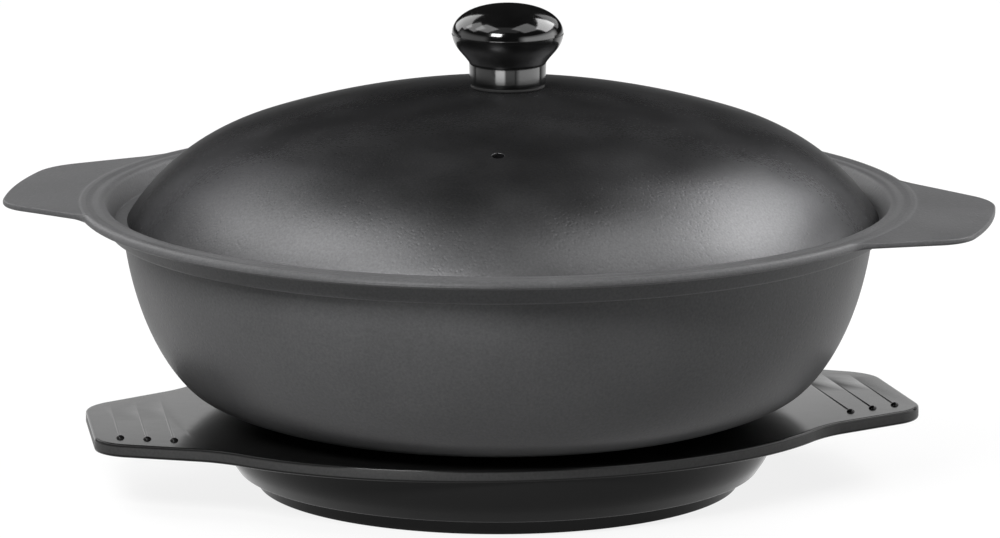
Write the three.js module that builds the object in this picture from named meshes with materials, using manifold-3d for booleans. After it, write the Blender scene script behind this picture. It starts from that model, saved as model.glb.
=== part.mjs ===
// Cast iron pot with a loose domed lid, standing on its black under-tray.
// Millimetres, +Z up. The origin is the middle of the tray's foot, on the surface it stands on,
// and +X runs along the pot's two wing handles.

import * as THREE from 'three';
import { mergeVertices } from 'three/addons/utils/BufferGeometryUtils.js';
import Module from 'manifold-3d';

const wasm = await Module();
wasm.setup();

// Clearances
const restGap = 0.3;
const stackGap = 0.05;
const cutOverrun = 4;

// Smoothness, in counts
const roundSteps = 64;
const knobSteps = 32;
const smallSteps = 24;
const ovalSteps = 20;
const wallSteps = 8;
const arcSteps = 6;
const bendSteps = 2;

// Under-tray: an oval plate with two wings over a round drum and a foot ring
const trayTurn = THREE.MathUtils.degToRad(21.8);
const trayHalfLength = 117.2;
const trayHalfWidth = 93.8;
const trayThick = 4.4;
const trayHeight = 24.7;
const wingReach = 137.9;
const wingTipHalf = 28.7;
const wingSideAngle = THREE.MathUtils.degToRad(27.7);
const wingSweep = THREE.MathUtils.degToRad(4.2);
const wingCornerR = 8.5;
const wingRootX = 96.7;
const wingRootLength = 11;
const grooveCount = 3;
const grooveTipMargin = 8.6;
const groovePitch = 8.7;
const grooveWidth = 1.4;
const grooveDepth = 0.8;
const grooveLean = THREE.MathUtils.degToRad(4.5);
const grooveFront = 22.6;
const grooveBack = 26.5;
const grooveGrowth = 3.6;
const beadR = 1.35;
const drumTopR = 93.2;
const drumBottomR = 87.2;
const drumBulge = 1.6;
const footR = 80.7;
const footHeight = 5.5;
const footWidth = 8;
const footRecess = 3.4;

// Pot: one casting of bowl, lid seat, rim flange and wing handles
const potHeight = 71.3;
const potWall = 3.2;
const potFloor = 3.6;
const potBaseR = 73.5;
const potFloorAngle = THREE.MathUtils.degToRad(1.8);
const potFloorPull = 8.2;
const potHeelR = 103.1;
const potHeelHeight = 9.3;
const potHeelAngle = THREE.MathUtils.degToRad(37.7);
const potHeelInPull = 8.1;
const potHeelOutPull = 6.8;
const potWallR = 125;
const potWallAngle = THREE.MathUtils.degToRad(83.5);
const potWallPull = 32.5;
const bandHeight = 9.9;
const bandStep = 4.5;
const bandRound = 2.2;
const bandRise = 2.7;
const bandLean = 0.9;
const flangeR = 140;
const flangeThick = 2;
const flangeCove = 1.8;
const coveDrop = 1.6;
const flangeEdgeR = 0.8;
const flangeDip = 0.5;
const lipR = 132.4;
const lipRound = 1.5;
const seatDepth = 7.1;
const lidPlay = 2;
const seatFlare = 3;
const handleLength = 25.5;
const handleTipHalf = 33.8;
const handleSideAngle = THREE.MathUtils.degToRad(32.5);
const handleCornerR = 20;
const handleRootR = 8;
const handleDrop = 0.15;
const handleDroop = THREE.MathUtils.degToRad(3);
const handleThick = 1.9;
const handleLap = 6;

// Lid: a crown arc running into a tighter shoulder arc
const lidWall = 3;
const lidRise = 44.4;
const lidCrownR = 272.5;
const lidShoulderR = 69.8;
const lidTangentR = 88.4;
const lidShift = 1.65;
const ventR = 2;
const ventPlace = 72.5;
const ventTurn = THREE.MathUtils.degToRad(-91.3);
const shiftTurn = THREE.MathUtils.degToRad(10.8);

// Knob and what holds it
const gasketR = 12.3;
const gasketThick = 1.2;
const knobShift = 1.55;
const knobHeight = 26.6;
const knobR = 18.6;
const knobBaseR = 12.7;
const knobNeckR = 13.1;
const knobNeckHeight = 7.6;
const knobFlareAngle = THREE.MathUtils.degToRad(52.7);
const knobFlarePull = 4.3;
const knobSeamAngle = THREE.MathUtils.degToRad(81.4);
const knobSeamPull = 4.8;
const knobSeamHeight = 16.8;
const knobSeamDepth = 0.25;
const knobSeamWidth = 0.5;
const knobDomePullShares = [0.67, 0.53];
const screwR = 2.5;
const screwReach = 13;
const screwHeadR = 5;
const screwHeadHeight = 3;
const screwSlotWidth = 1.2;
const screwSlotDepth = 1.5;
const screwClear = 0.5;
const threadClear = 0.15;
const insertR = 4.2;
const insertLength = 14;
const insertWaist = 0.5;
const insertBandShares = [0.3, 0.4, 0.6, 0.7];
const insertClear = 0.15;
const washerR = 8;
const washerThick = 1;
const springR = 4.4;
const springThick = 1.3;
const springCut = 1.2;

// Levels and reaches that follow from the sizes
const handleReach = flangeR + handleLength;
const potBaseZ = trayHeight + restGap;
const rimZ = potBaseZ + potHeight;
const bandZ = rimZ - bandHeight;
const seatZ = rimZ - seatDepth;
const lidEdgeZ = seatZ + restGap;
const crownZ = lidEdgeZ + lidRise;
const knobSeatR = gasketR + knobShift;
const gasketZ = crownZ - lidCrownR + Math.sqrt(lidCrownR ** 2 - knobSeatR ** 2);
const knobZ = gasketZ + gasketThick + 2 * stackGap;
const lidUnderZ = gasketZ - lidWall;
const washerZ = lidUnderZ - stackGap - washerThick;
const springZ = washerZ - stackGap - springThick;
const headZ = springZ - stackGap;
const insertZ = knobZ + stackGap;

// The lid's shoulder arc: its centre and the angle at which it meets the seat
const lidTangentAngle = Math.asin(lidTangentR / lidCrownR);
const shoulderCentreR = (lidCrownR - lidShoulderR) * Math.sin(lidTangentAngle);
const shoulderCentreZ = crownZ - lidCrownR + (lidCrownR - lidShoulderR) * Math.cos(lidTangentAngle);
const lidEdgeAngle = Math.acos((lidEdgeZ - shoulderCentreZ) / lidShoulderR);
const lidEdgeR = shoulderCentreR + lidShoulderR * Math.sin(lidEdgeAngle);
const seatR = lidEdgeR + lidPlay;

function finish(name, material, geometry) {
  const mesh = new THREE.Mesh(geometry, material);
  mesh.name = name;
  return mesh;
}

// Keeps positions only and joins equal corners, so that the surface closes
function weld(geometry) {
  geometry.deleteAttribute('normal');
  geometry.deleteAttribute('uv');
  const merged = mergeVertices(geometry);
  const corners = merged.getIndex().array;
  const kept = [];
  for (let i = 0; i < corners.length; i += 3) {
    const [a, b, c] = corners.slice(i, i + 3);
    if (a !== b && b !== c && c !== a) kept.push(a, b, c);
  }
  merged.setIndex(kept);
  return merged;
}

function solid(geometry) {
  const welded = weld(geometry);
  return new wasm.Manifold(new wasm.Mesh({
    numProp: 3,
    vertProperties: new Float32Array(welded.getAttribute('position').array),
    triVerts: new Uint32Array(welded.getIndex().array),
  }));
}

function surface(body) {
  const mesh = body.getMesh();
  const geometry = new THREE.BufferGeometry();
  geometry.setAttribute('position', new THREE.BufferAttribute(mesh.vertProperties, 3));
  geometry.setIndex(new THREE.BufferAttribute(mesh.triVerts, 1));
  geometry.computeVertexNormals();
  return geometry;
}

// Turns a profile of radius and height about the upright axis. It runs out along the underside,
// up the outside and back in over the top.
function turned(profile, steps) {
  const geometry = new THREE.LatheGeometry(profile, steps);
  geometry.rotateX(Math.PI / 2);
  return weld(geometry);
}

function ring(innerR, outerR, z, height, steps) {
  const profile = [
    new THREE.Vector2(innerR, z),
    new THREE.Vector2(outerR, z),
    new THREE.Vector2(outerR, z + height),
    new THREE.Vector2(innerR, z + height),
    new THREE.Vector2(innerR, z),
  ];
  return turned(profile, steps);
}

function plate(outline, z, thick) {
  const options = { depth: thick, bevelEnabled: false, curveSegments: wallSteps };
  const geometry = new THREE.ExtrudeGeometry(outline, options);
  geometry.translate(0, 0, z);
  return geometry;
}

// A straight edge in plan, given by a point on it and its angle to the X axis, with its outward side
function edgeLine(x, y, angle) {
  const along = new THREE.Vector2(-Math.cos(angle), Math.sin(angle));
  const out = new THREE.Vector2(Math.sin(angle), Math.cos(angle));
  return { along, out, offset: out.dot(new THREE.Vector2(x, y)) };
}

// Centre of an arc that touches the edge line and lies a given distance from the axis
function arcCentre(line, offset, distance) {
  const slide = -Math.sqrt(distance ** 2 - offset ** 2);
  return line.out.clone().multiplyScalar(offset).addScaledVector(line.along, slide);
}

// One handle in plan, on the +X side: concave roots against the rim and rounded tip corners
function handleOutline() {
  const tipX = Math.sqrt(handleReach ** 2 - handleTipHalf ** 2);
  const side = edgeLine(tipX, handleTipHalf, handleSideAngle);
  const root = arcCentre(side, side.offset + handleRootR, flangeR + handleRootR);
  const corner = arcCentre(side, side.offset - handleCornerR, handleReach - handleCornerR);
  const rootTurn = root.angle();
  const cornerTurn = corner.angle();
  const sideTurn = side.out.angle();
  const outline = new THREE.Shape();
  outline.absarc(0, 0, flangeR - handleLap, rootTurn, -rootTurn, true);
  outline.absarc(root.x, -root.y, handleRootR, Math.PI - rootTurn, Math.PI - sideTurn, true);
  outline.absarc(corner.x, -corner.y, handleCornerR, -sideTurn, -cornerTurn, false);
  outline.absarc(0, 0, handleReach, -cornerTurn, cornerTurn, false);
  outline.absarc(corner.x, corner.y, handleCornerR, cornerTurn, sideTurn, false);
  outline.absarc(root.x, root.y, handleRootR, Math.PI + sideTurn, Math.PI + rootTurn, true);
  return outline;
}

// How far a curve is drawn out along its end's direction
function pull(angle, length) {
  return new THREE.Vector2(Math.cos(angle), Math.sin(angle)).multiplyScalar(length);
}

// Bowl, lid seat and flange in section, from the middle of the base round to the middle of the floor
function potProfile() {
  const floorPull = pull(potFloorAngle, potFloorPull);
  const heelIn = pull(potHeelAngle, potHeelInPull);
  const heelOut = pull(potHeelAngle, potHeelOutPull);
  const wallPull = pull(potWallAngle, potWallPull);
  const heel = new THREE.Vector2(potHeelR, potBaseZ + potHeelHeight);
  const innerHeel = pull(potHeelAngle + Math.PI / 2, potWall).add(heel);
  const bandR = potWallR + bandStep + bandRound;
  const coveZ = rimZ - flangeThick - coveDrop;
  const innerR = potWallR - potWall;
  const floorZ = potBaseZ + potFloor;
  const outside = new THREE.Path();
  outside.moveTo(0, potBaseZ);
  outside.lineTo(potBaseR, potBaseZ);
  outside.bezierCurveTo(
    potBaseR + floorPull.x, potBaseZ + floorPull.y,
    heel.x - heelIn.x, heel.y - heelIn.y,
    heel.x, heel.y);
  outside.bezierCurveTo(
    heel.x + heelOut.x, heel.y + heelOut.y,
    potWallR - wallPull.x, bandZ - wallPull.y,
    potWallR, bandZ);
  const rim = new THREE.Path();
  rim.moveTo(potWallR, bandZ);
  rim.lineTo(potWallR + bandStep, bandZ + bandLean);
  rim.quadraticCurveTo(bandR, bandZ + bandLean, bandR, bandZ + bandLean + bandRise);
  rim.quadraticCurveTo(bandR, coveZ, bandR + flangeCove, coveZ);
  rim.lineTo(flangeR - flangeEdgeR, rimZ - flangeThick);
  rim.quadraticCurveTo(flangeR, rimZ - flangeThick, flangeR, rimZ - flangeThick + flangeEdgeR);
  rim.quadraticCurveTo(flangeR, rimZ, flangeR - 2 * flangeEdgeR, rimZ);
  rim.quadraticCurveTo((flangeR + lipR) / 2, rimZ - 2 * flangeDip, lipR, rimZ);
  rim.quadraticCurveTo(lipR - lipRound, rimZ, seatR + seatFlare, rimZ - lipRound);
  rim.lineTo(seatR, seatZ);
  const inside = new THREE.Path();
  inside.moveTo(innerR, seatZ);
  inside.lineTo(innerR, bandZ);
  inside.bezierCurveTo(
    innerR - wallPull.x, bandZ - wallPull.y,
    innerHeel.x + heelOut.x, innerHeel.y + heelOut.y,
    innerHeel.x, innerHeel.y);
  inside.bezierCurveTo(
    innerHeel.x - heelIn.x, innerHeel.y - heelIn.y,
    potBaseR + floorPull.x, floorZ + floorPull.y,
    potBaseR, floorZ);
  inside.lineTo(0, floorZ);
  return [...outside.getPoints(wallSteps), ...rim.getPoints(bendSteps), ...inside.getPoints(wallSteps)];
}

// One handle as a plate that droops a little from the rim out to its tip
function handlePlate() {
  const geometry = plate(handleOutline(), rimZ - handleDrop - handleThick, handleThick);
  const corners = geometry.getAttribute('position');
  for (let i = 0; i < corners.count; i += 1) {
    const pastRim = Math.max(Math.hypot(corners.getX(i), corners.getY(i)) - flangeR, 0);
    corners.setZ(i, corners.getZ(i) - pastRim * Math.tan(handleDroop));
  }
  return geometry;
}

function potBody() {
  const handle = solid(handlePlate());
  const body = solid(turned(potProfile(), roundSteps)).add(handle).add(handle.rotate([0, 0, 180]));
  const material = new THREE.MeshStandardMaterial({ color: 0x2b2b2c, roughness: 0.5, metalness: 0.35 });
  return finish('pot_body', material, surface(body));
}

// One side of a wing in plan, from the oval body out to its tip. Side is 1 for the +X wing and end is
// 1 for its back side. The tip leans, so that the front side is the longer one.
function wingSide(side, end) {
  const slope = Math.tan(wingSideAngle);
  const tipX = wingReach - end * wingTipHalf * Math.tan(wingSweep);
  const rootY = trayHalfWidth * Math.sqrt(1 - (wingRootX / trayHalfLength) ** 2);
  const kinkX = wingRootX + wingRootLength;
  const kinkY = wingTipHalf + (wingReach - kinkX) * slope;
  const path = new THREE.Path();
  path.moveTo(wingRootX, rootY);
  path.quadraticCurveTo((wingRootX + kinkX) / 2, kinkY + wingRootLength * slope / 2, kinkX, kinkY);
  path.lineTo(tipX - wingCornerR, wingTipHalf + wingCornerR * slope);
  path.quadraticCurveTo(
    tipX, wingTipHalf,
    tipX + end * wingCornerR * Math.tan(wingSweep), wingTipHalf - wingCornerR);
  return path.getPoints(wallSteps).map((point) => new THREE.Vector2(side * point.x, end * point.y));
}

// Under-tray in plan: the oval body between its two wings
function trayOutline() {
  const turn = Math.acos(wingRootX / trayHalfLength);
  const half = Math.PI;
  const back = new THREE.EllipseCurve(0, 0, trayHalfLength, trayHalfWidth, turn, half - turn);
  const front = new THREE.EllipseCurve(0, 0, trayHalfLength, trayHalfWidth, half + turn, 2 * half - turn);
  return new THREE.Shape([
    ...wingSide(1, 1).reverse(),
    ...back.getPoints(ovalSteps).slice(1, -1),
    ...wingSide(-1, 1),
    ...wingSide(-1, -1).reverse(),
    ...front.getPoints(ovalSteps).slice(1, -1),
    ...wingSide(1, -1),
  ]);
}

// Drum and foot ring in section, up to the underside of the plate
function drumProfile() {
  const top = trayHeight - trayThick;
  const bulgeR = (drumTopR + drumBottomR) / 2 + drumBulge;
  const profile = new THREE.Path();
  profile.moveTo(0, footRecess);
  profile.lineTo(footR - footWidth, footRecess);
  profile.lineTo(footR - footWidth, 0);
  profile.lineTo(footR, 0);
  profile.lineTo(footR, footHeight);
  profile.lineTo(drumBottomR, footHeight);
  profile.quadraticCurveTo(bulgeR, (footHeight + top) / 2, drumTopR, top);
  profile.lineTo(drumTopR, top + trayThick / 2);
  profile.lineTo(0, top + trayThick / 2);
  return profile.getPoints(arcSteps);
}

// One groove with the bead at its front end, for the +X wing (side 1) or the -X wing (side -1)
function grooveAndBead(index, side) {
  const x = wingReach - grooveTipMargin - index * groovePitch;
  const front = -grooveFront - index * grooveGrowth;
  const back = grooveBack + index * grooveGrowth;
  const groove = new THREE.BoxGeometry(grooveWidth, back - front, 2 * grooveDepth);
  groove.translate(0, (front + back) / 2, trayHeight);
  const bead = new THREE.SphereGeometry(beadR, smallSteps / 2, smallSteps / 4);
  bead.rotateX(Math.PI / 2);
  bead.translate(0, front, trayHeight);
  for (const shape of [groove, bead]) {
    shape.rotateZ(side * grooveLean);
    shape.translate(side * x, 0, 0);
  }
  return { groove: solid(groove), bead: solid(bead) };
}

function tray() {
  let body = solid(plate(trayOutline(), trayHeight - trayThick, trayThick));
  body = body.add(solid(turned(drumProfile(), roundSteps)));
  for (const side of [1, -1]) {
    for (let index = 0; index < grooveCount; index += 1) {
      const { groove, bead } = grooveAndBead(index, side);
      body = body.subtract(groove).add(bead);
    }
  }
  const material = new THREE.MeshStandardMaterial({ color: 0x141415, roughness: 0.35, metalness: 0 });
  return finish('trivet_tray', material, surface(body));
}

// Lid in section: edge, outer shoulder and crown, seat for the knob, then the same inside
function lidProfile() {
  const innerR = lidShoulderR - lidWall;
  const innerEdge = Math.acos((lidEdgeZ - shoulderCentreZ) / innerR);
  const innerEdgeR = shoulderCentreR + innerR * Math.sin(innerEdge);
  const crownCentreZ = crownZ - lidCrownR;
  const seatTurn = Math.asin(knobSeatR / lidCrownR);
  const underTurn = Math.acos((lidUnderZ - crownCentreZ) / (lidCrownR - lidWall));
  const up = Math.PI / 2;
  const tangent = up - lidTangentAngle;
  const profile = new THREE.Path();
  profile.moveTo(innerEdgeR, lidEdgeZ);
  profile.lineTo(lidEdgeR, lidEdgeZ);
  profile.absarc(shoulderCentreR, shoulderCentreZ, lidShoulderR, up - lidEdgeAngle, tangent, false);
  profile.absarc(0, crownCentreZ, lidCrownR, tangent, up - seatTurn, false);
  profile.lineTo(0, gasketZ);
  profile.lineTo(0, lidUnderZ);
  profile.absarc(0, crownCentreZ, lidCrownR - lidWall, up - underTurn, tangent, true);
  profile.absarc(shoulderCentreR, shoulderCentreZ, innerR, tangent, up - innerEdge, true);
  return profile.getPoints(arcSteps / 2);
}

function lidShell() {
  const tilt = Math.asin(ventPlace / lidCrownR);
  const vent = new THREE.CylinderGeometry(ventR, ventR, lidWall + 2 * cutOverrun, smallSteps / 2);
  vent.rotateX(Math.PI / 2);
  vent.rotateY(tilt);
  vent.translate(ventPlace, 0, crownZ - lidCrownR + lidCrownR * Math.cos(tilt));
  vent.rotateZ(ventTurn);
  const holeR = screwR + screwClear;
  const screwHole = new THREE.CylinderGeometry(holeR, holeR, 2 * lidWall, smallSteps);
  screwHole.rotateX(Math.PI / 2);
  screwHole.translate(knobShift, 0, (gasketZ + lidUnderZ) / 2);
  const dome = solid(turned(lidProfile(), roundSteps));
  const body = dome.subtract(solid(vent)).subtract(solid(screwHole));
  const material = new THREE.MeshStandardMaterial({ color: 0x2e2e2f, roughness: 0.45, metalness: 0.4 });
  return finish('lid_shell', material, surface(body));
}

function knobGasket() {
  const material = new THREE.MeshStandardMaterial({ color: 0x0c0c0c, roughness: 0.8, metalness: 0 });
  const innerR = screwR + screwClear;
  return finish('knob_gasket', material, ring(innerR, gasketR, gasketZ + stackGap, gasketThick, knobSteps));
}

// Knob: neck, mushroom head with a moulding seam at its widest, and the insert's blind bore
function knob() {
  const boreR = insertR + insertClear;
  const boreZ = insertZ + insertLength + insertClear;
  const neckZ = knobZ + knobNeckHeight;
  const seamZ = knobZ + knobSeamHeight;
  const topZ = knobZ + knobHeight;
  const domeHeight = topZ - seamZ - knobSeamWidth;
  const flarePull = pull(knobFlareAngle, knobFlarePull);
  const seamPull = pull(knobSeamAngle, knobSeamPull);
  const profile = new THREE.Path();
  profile.moveTo(0, boreZ);
  profile.lineTo(boreR, boreZ);
  profile.lineTo(boreR, knobZ);
  profile.lineTo(knobBaseR, knobZ);
  profile.quadraticCurveTo(knobBaseR, (knobZ + neckZ) / 2, knobNeckR, neckZ);
  profile.bezierCurveTo(
    knobNeckR + flarePull.x, neckZ + flarePull.y,
    knobR - seamPull.x, seamZ - seamPull.y,
    knobR, seamZ);
  profile.lineTo(knobR - knobSeamDepth, seamZ + knobSeamWidth / 2);
  profile.lineTo(knobR, seamZ + knobSeamWidth);
  profile.bezierCurveTo(
    knobR, seamZ + knobSeamWidth + domeHeight * knobDomePullShares[0],
    knobR * knobDomePullShares[1], topZ,
    0, topZ);
  const material = new THREE.MeshStandardMaterial({ color: 0x0a0a0b, roughness: 0.12, metalness: 0 });
  return finish('knob', material, turned(profile.getPoints(arcSteps), knobSteps));
}

// Threaded insert: two knurled bands either side of a waist
function knobInsert() {
  const innerR = screwR + threadClear;
  const waistR = insertR - insertWaist;
  const levels = insertBandShares.map((share) => insertZ + share * insertLength);
  const profile = [
    new THREE.Vector2(innerR, insertZ),
    new THREE.Vector2(insertR, insertZ),
    new THREE.Vector2(insertR, levels[0]),
    new THREE.Vector2(waistR, levels[1]),
    new THREE.Vector2(waistR, levels[2]),
    new THREE.Vector2(insertR, levels[3]),
    new THREE.Vector2(insertR, insertZ + insertLength),
    new THREE.Vector2(innerR, insertZ + insertLength),
    new THREE.Vector2(innerR, insertZ),
  ];
  const material = new THREE.MeshStandardMaterial({ color: 0xb08d4a, roughness: 0.35, metalness: 1 });
  return finish('knob_insert', material, turned(profile, smallSteps));
}

function lidWasher() {
  const material = new THREE.MeshStandardMaterial({ color: 0x9a9b9c, roughness: 0.35, metalness: 1 });
  return finish('lid_washer', material, ring(screwR + screwClear, washerR, washerZ, washerThick, smallSteps));
}

// Split lock washer: a square-section ring with one gap
function springWasher() {
  const innerR = screwR + screwClear / 2;
  const gap = springCut / (innerR + springR);
  const outline = new THREE.Shape();
  outline.absarc(0, 0, springR, gap, 2 * Math.PI - gap, false);
  outline.absarc(0, 0, innerR, 2 * Math.PI - gap, gap, true);
  const material = new THREE.MeshStandardMaterial({ color: 0x8e8f90, roughness: 0.4, metalness: 1 });
  return finish('spring_washer', material, weld(plate(outline, springZ, springThick)));
}

// Pan-head screw, driven from inside the lid up into the insert, with a cross recess
function knobScrew() {
  const profile = new THREE.Path();
  profile.moveTo(0, headZ - screwHeadHeight);
  profile.quadraticCurveTo(screwHeadR, headZ - screwHeadHeight, screwHeadR, headZ - screwHeadHeight / 3);
  profile.lineTo(screwHeadR, headZ);
  profile.lineTo(screwR, headZ);
  profile.lineTo(screwR, insertZ + screwReach - screwR / 2);
  profile.lineTo(screwR / 2, insertZ + screwReach);
  profile.lineTo(0, insertZ + screwReach);
  let body = solid(turned(profile.getPoints(bendSteps), smallSteps));
  for (const turn of [0, Math.PI / 2]) {
    const slot = new THREE.BoxGeometry(screwHeadR, screwSlotWidth, 2 * screwSlotDepth);
    slot.rotateZ(turn);
    slot.translate(0, 0, headZ - screwHeadHeight);
    body = body.subtract(solid(slot));
  }
  const material = new THREE.MeshStandardMaterial({ color: 0x9fa0a2, roughness: 0.3, metalness: 1 });
  return finish('knob_screw', material, surface(body));
}

const trayGroup = new THREE.Group();
trayGroup.rotation.z = trayTurn;
trayGroup.add(tray());

// The knob is fixed a little off the lid's middle
const knobGroup = new THREE.Group();
knobGroup.position.x = knobShift;
knobGroup.add(knobGasket(), knob(), knobInsert(), lidWasher(), springWasher(), knobScrew());

// The loose lid sits a little off the pot's middle
const lidGroup = new THREE.Group();
lidGroup.position.set(lidShift * Math.cos(shiftTurn), lidShift * Math.sin(shiftTurn), 0);
lidGroup.rotation.z = shiftTurn;
lidGroup.add(lidShell(), knobGroup);

const set = new THREE.Group();
set.add(trayGroup, potBody(), lidGroup);

export default set;
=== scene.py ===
"""A cast iron pot with a loose domed lid on a black under-tray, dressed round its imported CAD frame.

Metres, +Z up. The origin is the middle of the tray's foot, and +X runs along the pot's handles.
"""

import math

import bmesh
import bpy
from mathutils import Matrix, Vector


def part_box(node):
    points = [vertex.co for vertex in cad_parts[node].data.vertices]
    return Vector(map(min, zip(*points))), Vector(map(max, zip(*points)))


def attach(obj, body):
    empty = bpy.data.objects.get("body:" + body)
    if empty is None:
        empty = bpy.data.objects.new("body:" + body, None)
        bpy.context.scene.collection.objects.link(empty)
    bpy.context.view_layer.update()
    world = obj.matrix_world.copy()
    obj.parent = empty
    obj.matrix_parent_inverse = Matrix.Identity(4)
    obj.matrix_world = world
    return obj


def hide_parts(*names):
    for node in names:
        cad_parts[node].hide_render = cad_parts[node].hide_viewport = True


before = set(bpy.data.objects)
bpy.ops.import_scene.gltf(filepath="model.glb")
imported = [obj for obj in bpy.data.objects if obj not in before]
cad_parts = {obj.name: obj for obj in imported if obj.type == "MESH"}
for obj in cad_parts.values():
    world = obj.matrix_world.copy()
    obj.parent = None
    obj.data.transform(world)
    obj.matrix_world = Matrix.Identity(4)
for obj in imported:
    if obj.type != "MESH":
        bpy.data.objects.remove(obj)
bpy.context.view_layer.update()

bl_info = {
    "name": "Cast Iron Pot",
    "version": (1, 0, 0),
    "blender": (4, 5, 0),
    "location": "View3D > Sidebar > Pot",
    "description": "Builds a cast iron pot, its domed lid with a knob, and the under-tray they stand on",
    "category": "Object",
}

MM = 0.001

# The photograph's frame and its place round the pot
PHOTO_WIDTH = 1000
PHOTO_FOCAL_PIXELS = 8000
SENSOR_WIDTH = 36.0
CAMERA_AZIMUTH = math.radians(10.8)
CAMERA_ELEVATION = math.radians(11.568)
CAMERA_DISTANCE = 2.67075
CAMERA_HEIGHT = 71.79 * MM
CAMERA_SIDE = 0.65 * MM

# Smoothness of the finished meshes, in counts
ROUND_STEPS = 288
KNOB_STEPS = 144
SMALL_STEPS = 72
CURVE_STEPS = 24
BEND_STEPS = 6
CREASE_ANGLE = math.radians(32)

# Length of the bar that cuts a groove, before it is shortened to the groove
BAR_LENGTH = 1.0


def srgb(code):
    """The linear colour of an sRGB hex value."""
    channels = [(code >> shift & 255) / 255 for shift in (16, 8, 0)]
    return [c / 12.92 if c <= 0.04045 else ((c + 0.055) / 1.055) ** 2.4 for c in channels]


def size_of(name, description, millimetres):
    """A length that a user can change."""
    return bpy.props.FloatProperty(
        name=name, description=description, default=millimetres * MM, unit="LENGTH")


def angle_of(name, description, degrees):
    """An angle that a user can change."""
    return bpy.props.FloatProperty(
        name=name, description=description, default=math.radians(degrees), subtype="ANGLE")


def colour_of(name, description, code):
    """A colour that a user can change, given as sRGB hex."""
    return bpy.props.FloatVectorProperty(
        name=name, description=description, default=srgb(code), subtype="COLOR", min=0, max=1)


def level_of(name, description, value):
    """A plain number from 0 up that a user can change. A lamp or card of level 1 is white."""
    return bpy.props.FloatProperty(name=name, description=description, default=value, min=0)


class TraySizes(bpy.types.PropertyGroup):
    """Sizes of the under-tray, in its own frame before it is turned under the pot."""

    turn: angle_of("Turn", "How far the tray is turned under the pot", 21.8)
    top: size_of("Top", "Height of the plate's top", 24.7)
    thick: size_of("Thickness", "Thickness of the plate", 4.4)
    half_length: size_of("Half length", "Half the oval body's length", 117.2)
    half_width: size_of("Half width", "Half the oval body's width", 93.8)
    reach: size_of("Wing reach", "From the middle to a wing's tip", 137.9)
    tip_half: size_of("Half tip", "Half the width of a wing's tip", 28.7)
    side_angle: angle_of("Side angle", "Slope of a wing's sides", 27.6)
    sweep: angle_of("Sweep", "Lean of a wing's tip", 4.2)
    corner: size_of("Corner", "Rounding of the tip's corners", 8.5)
    root_x: size_of("Root", "Where the oval body gives way to a wing", 96.7)
    root_length: size_of("Root length", "Length of the bend between body and wing", 11)
    edge: size_of("Edge", "Rounding of the plate's edges", 0.8)
    drum_top: size_of("Drum top radius", "Radius of the drum under the plate", 92.9)
    drum_bottom: size_of("Drum bottom radius", "Radius of the drum at its step", 87.2)
    foot: size_of("Foot radius", "Outer radius of the foot ring", 80.7)
    foot_width: size_of("Foot width", "Width of the foot ring", 8)
    foot_height: size_of("Foot height", "Height of the step above the foot", 5.5)
    foot_recess: size_of("Recess", "Depth of the hollow inside the foot ring", 3.4)


class GrooveSizes(bpy.types.PropertyGroup):
    """Sizes of the grooves across the wings and of the bead at each groove's front end."""

    count: bpy.props.IntProperty(name="Grooves", description="Grooves on each wing", default=3)
    first: size_of("First groove", "From the middle to the outermost groove", 129.3)
    pitch: size_of("Pitch", "From one groove to the next", 8.7)
    width: size_of("Width", "Width of a groove", 1.1)
    depth: size_of("Depth", "Depth of a groove", 0.3)
    front: size_of("Front", "From the middle line to the outermost groove's front end", 22.6)
    back: size_of("Back", "From the middle line to the outermost groove's back end", 26.5)
    growth: size_of("Growth", "How much further the next groove runs at each end", 3.6)
    lean: angle_of("Lean", "Lean of the grooves", 4.5)
    bead: size_of("Bead", "Radius of the bead", 1.35)
    flatness: level_of("Flatness", "Height of a bead to its radius", 0.7)


class PotSizes(bpy.types.PropertyGroup):
    """Sizes of the pot: bowl, lid seat, rim flange and wing handles in one casting."""

    rim: size_of("Rim height", "Height of the rim's top", 96.3)
    base: size_of("Base height", "Height of the base's underside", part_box("pot_body")[0].z / MM)
    radius: size_of("Rim radius", "Outer radius of the rim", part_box("pot_body")[1].y / MM)
    wall: size_of("Wall", "Thickness of the bowl's wall", 3.2)
    floor: size_of("Floor", "Thickness of the bowl's floor", 3.6)
    base_radius: size_of("Base radius", "Radius of the flat base", 73.5)
    heel_radius: size_of("Heel radius", "Radius where base curve and wall curve meet", 103.1)
    heel_height: size_of("Heel height", "Height of that place above the base", 9.3)
    heel_angle: angle_of("Heel angle", "Slope of the bowl's outside there", 37.7)
    wall_radius: size_of("Wall radius", "Outer radius of the bowl under the rim", 125)
    wall_angle: angle_of("Wall angle", "Slope of the bowl's outside under the rim", 83.5)
    band: size_of("Band height", "From the rim's top down to the bowl under it", 9.9)
    reach: size_of("Handle reach", "From the middle to a handle's tip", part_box("pot_body")[1].x / MM)
    tip_half: size_of("Half tip", "Half the width of a handle's tip", 33.8)
    side_angle: angle_of("Side angle", "Slope of a handle's sides", 32.5)
    corner: size_of("Corner", "Rounding of the tip's corners", 20)
    root: size_of("Root", "Rounding between handle and rim", 8)
    drop: size_of("Drop", "How far a handle's top starts below the rim's top", 0.4)
    droop: angle_of("Droop", "Slope of a handle down to its tip", 2.6)
    handle_thick: size_of("Handle thickness", "Thickness of a handle", 1.9)


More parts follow.
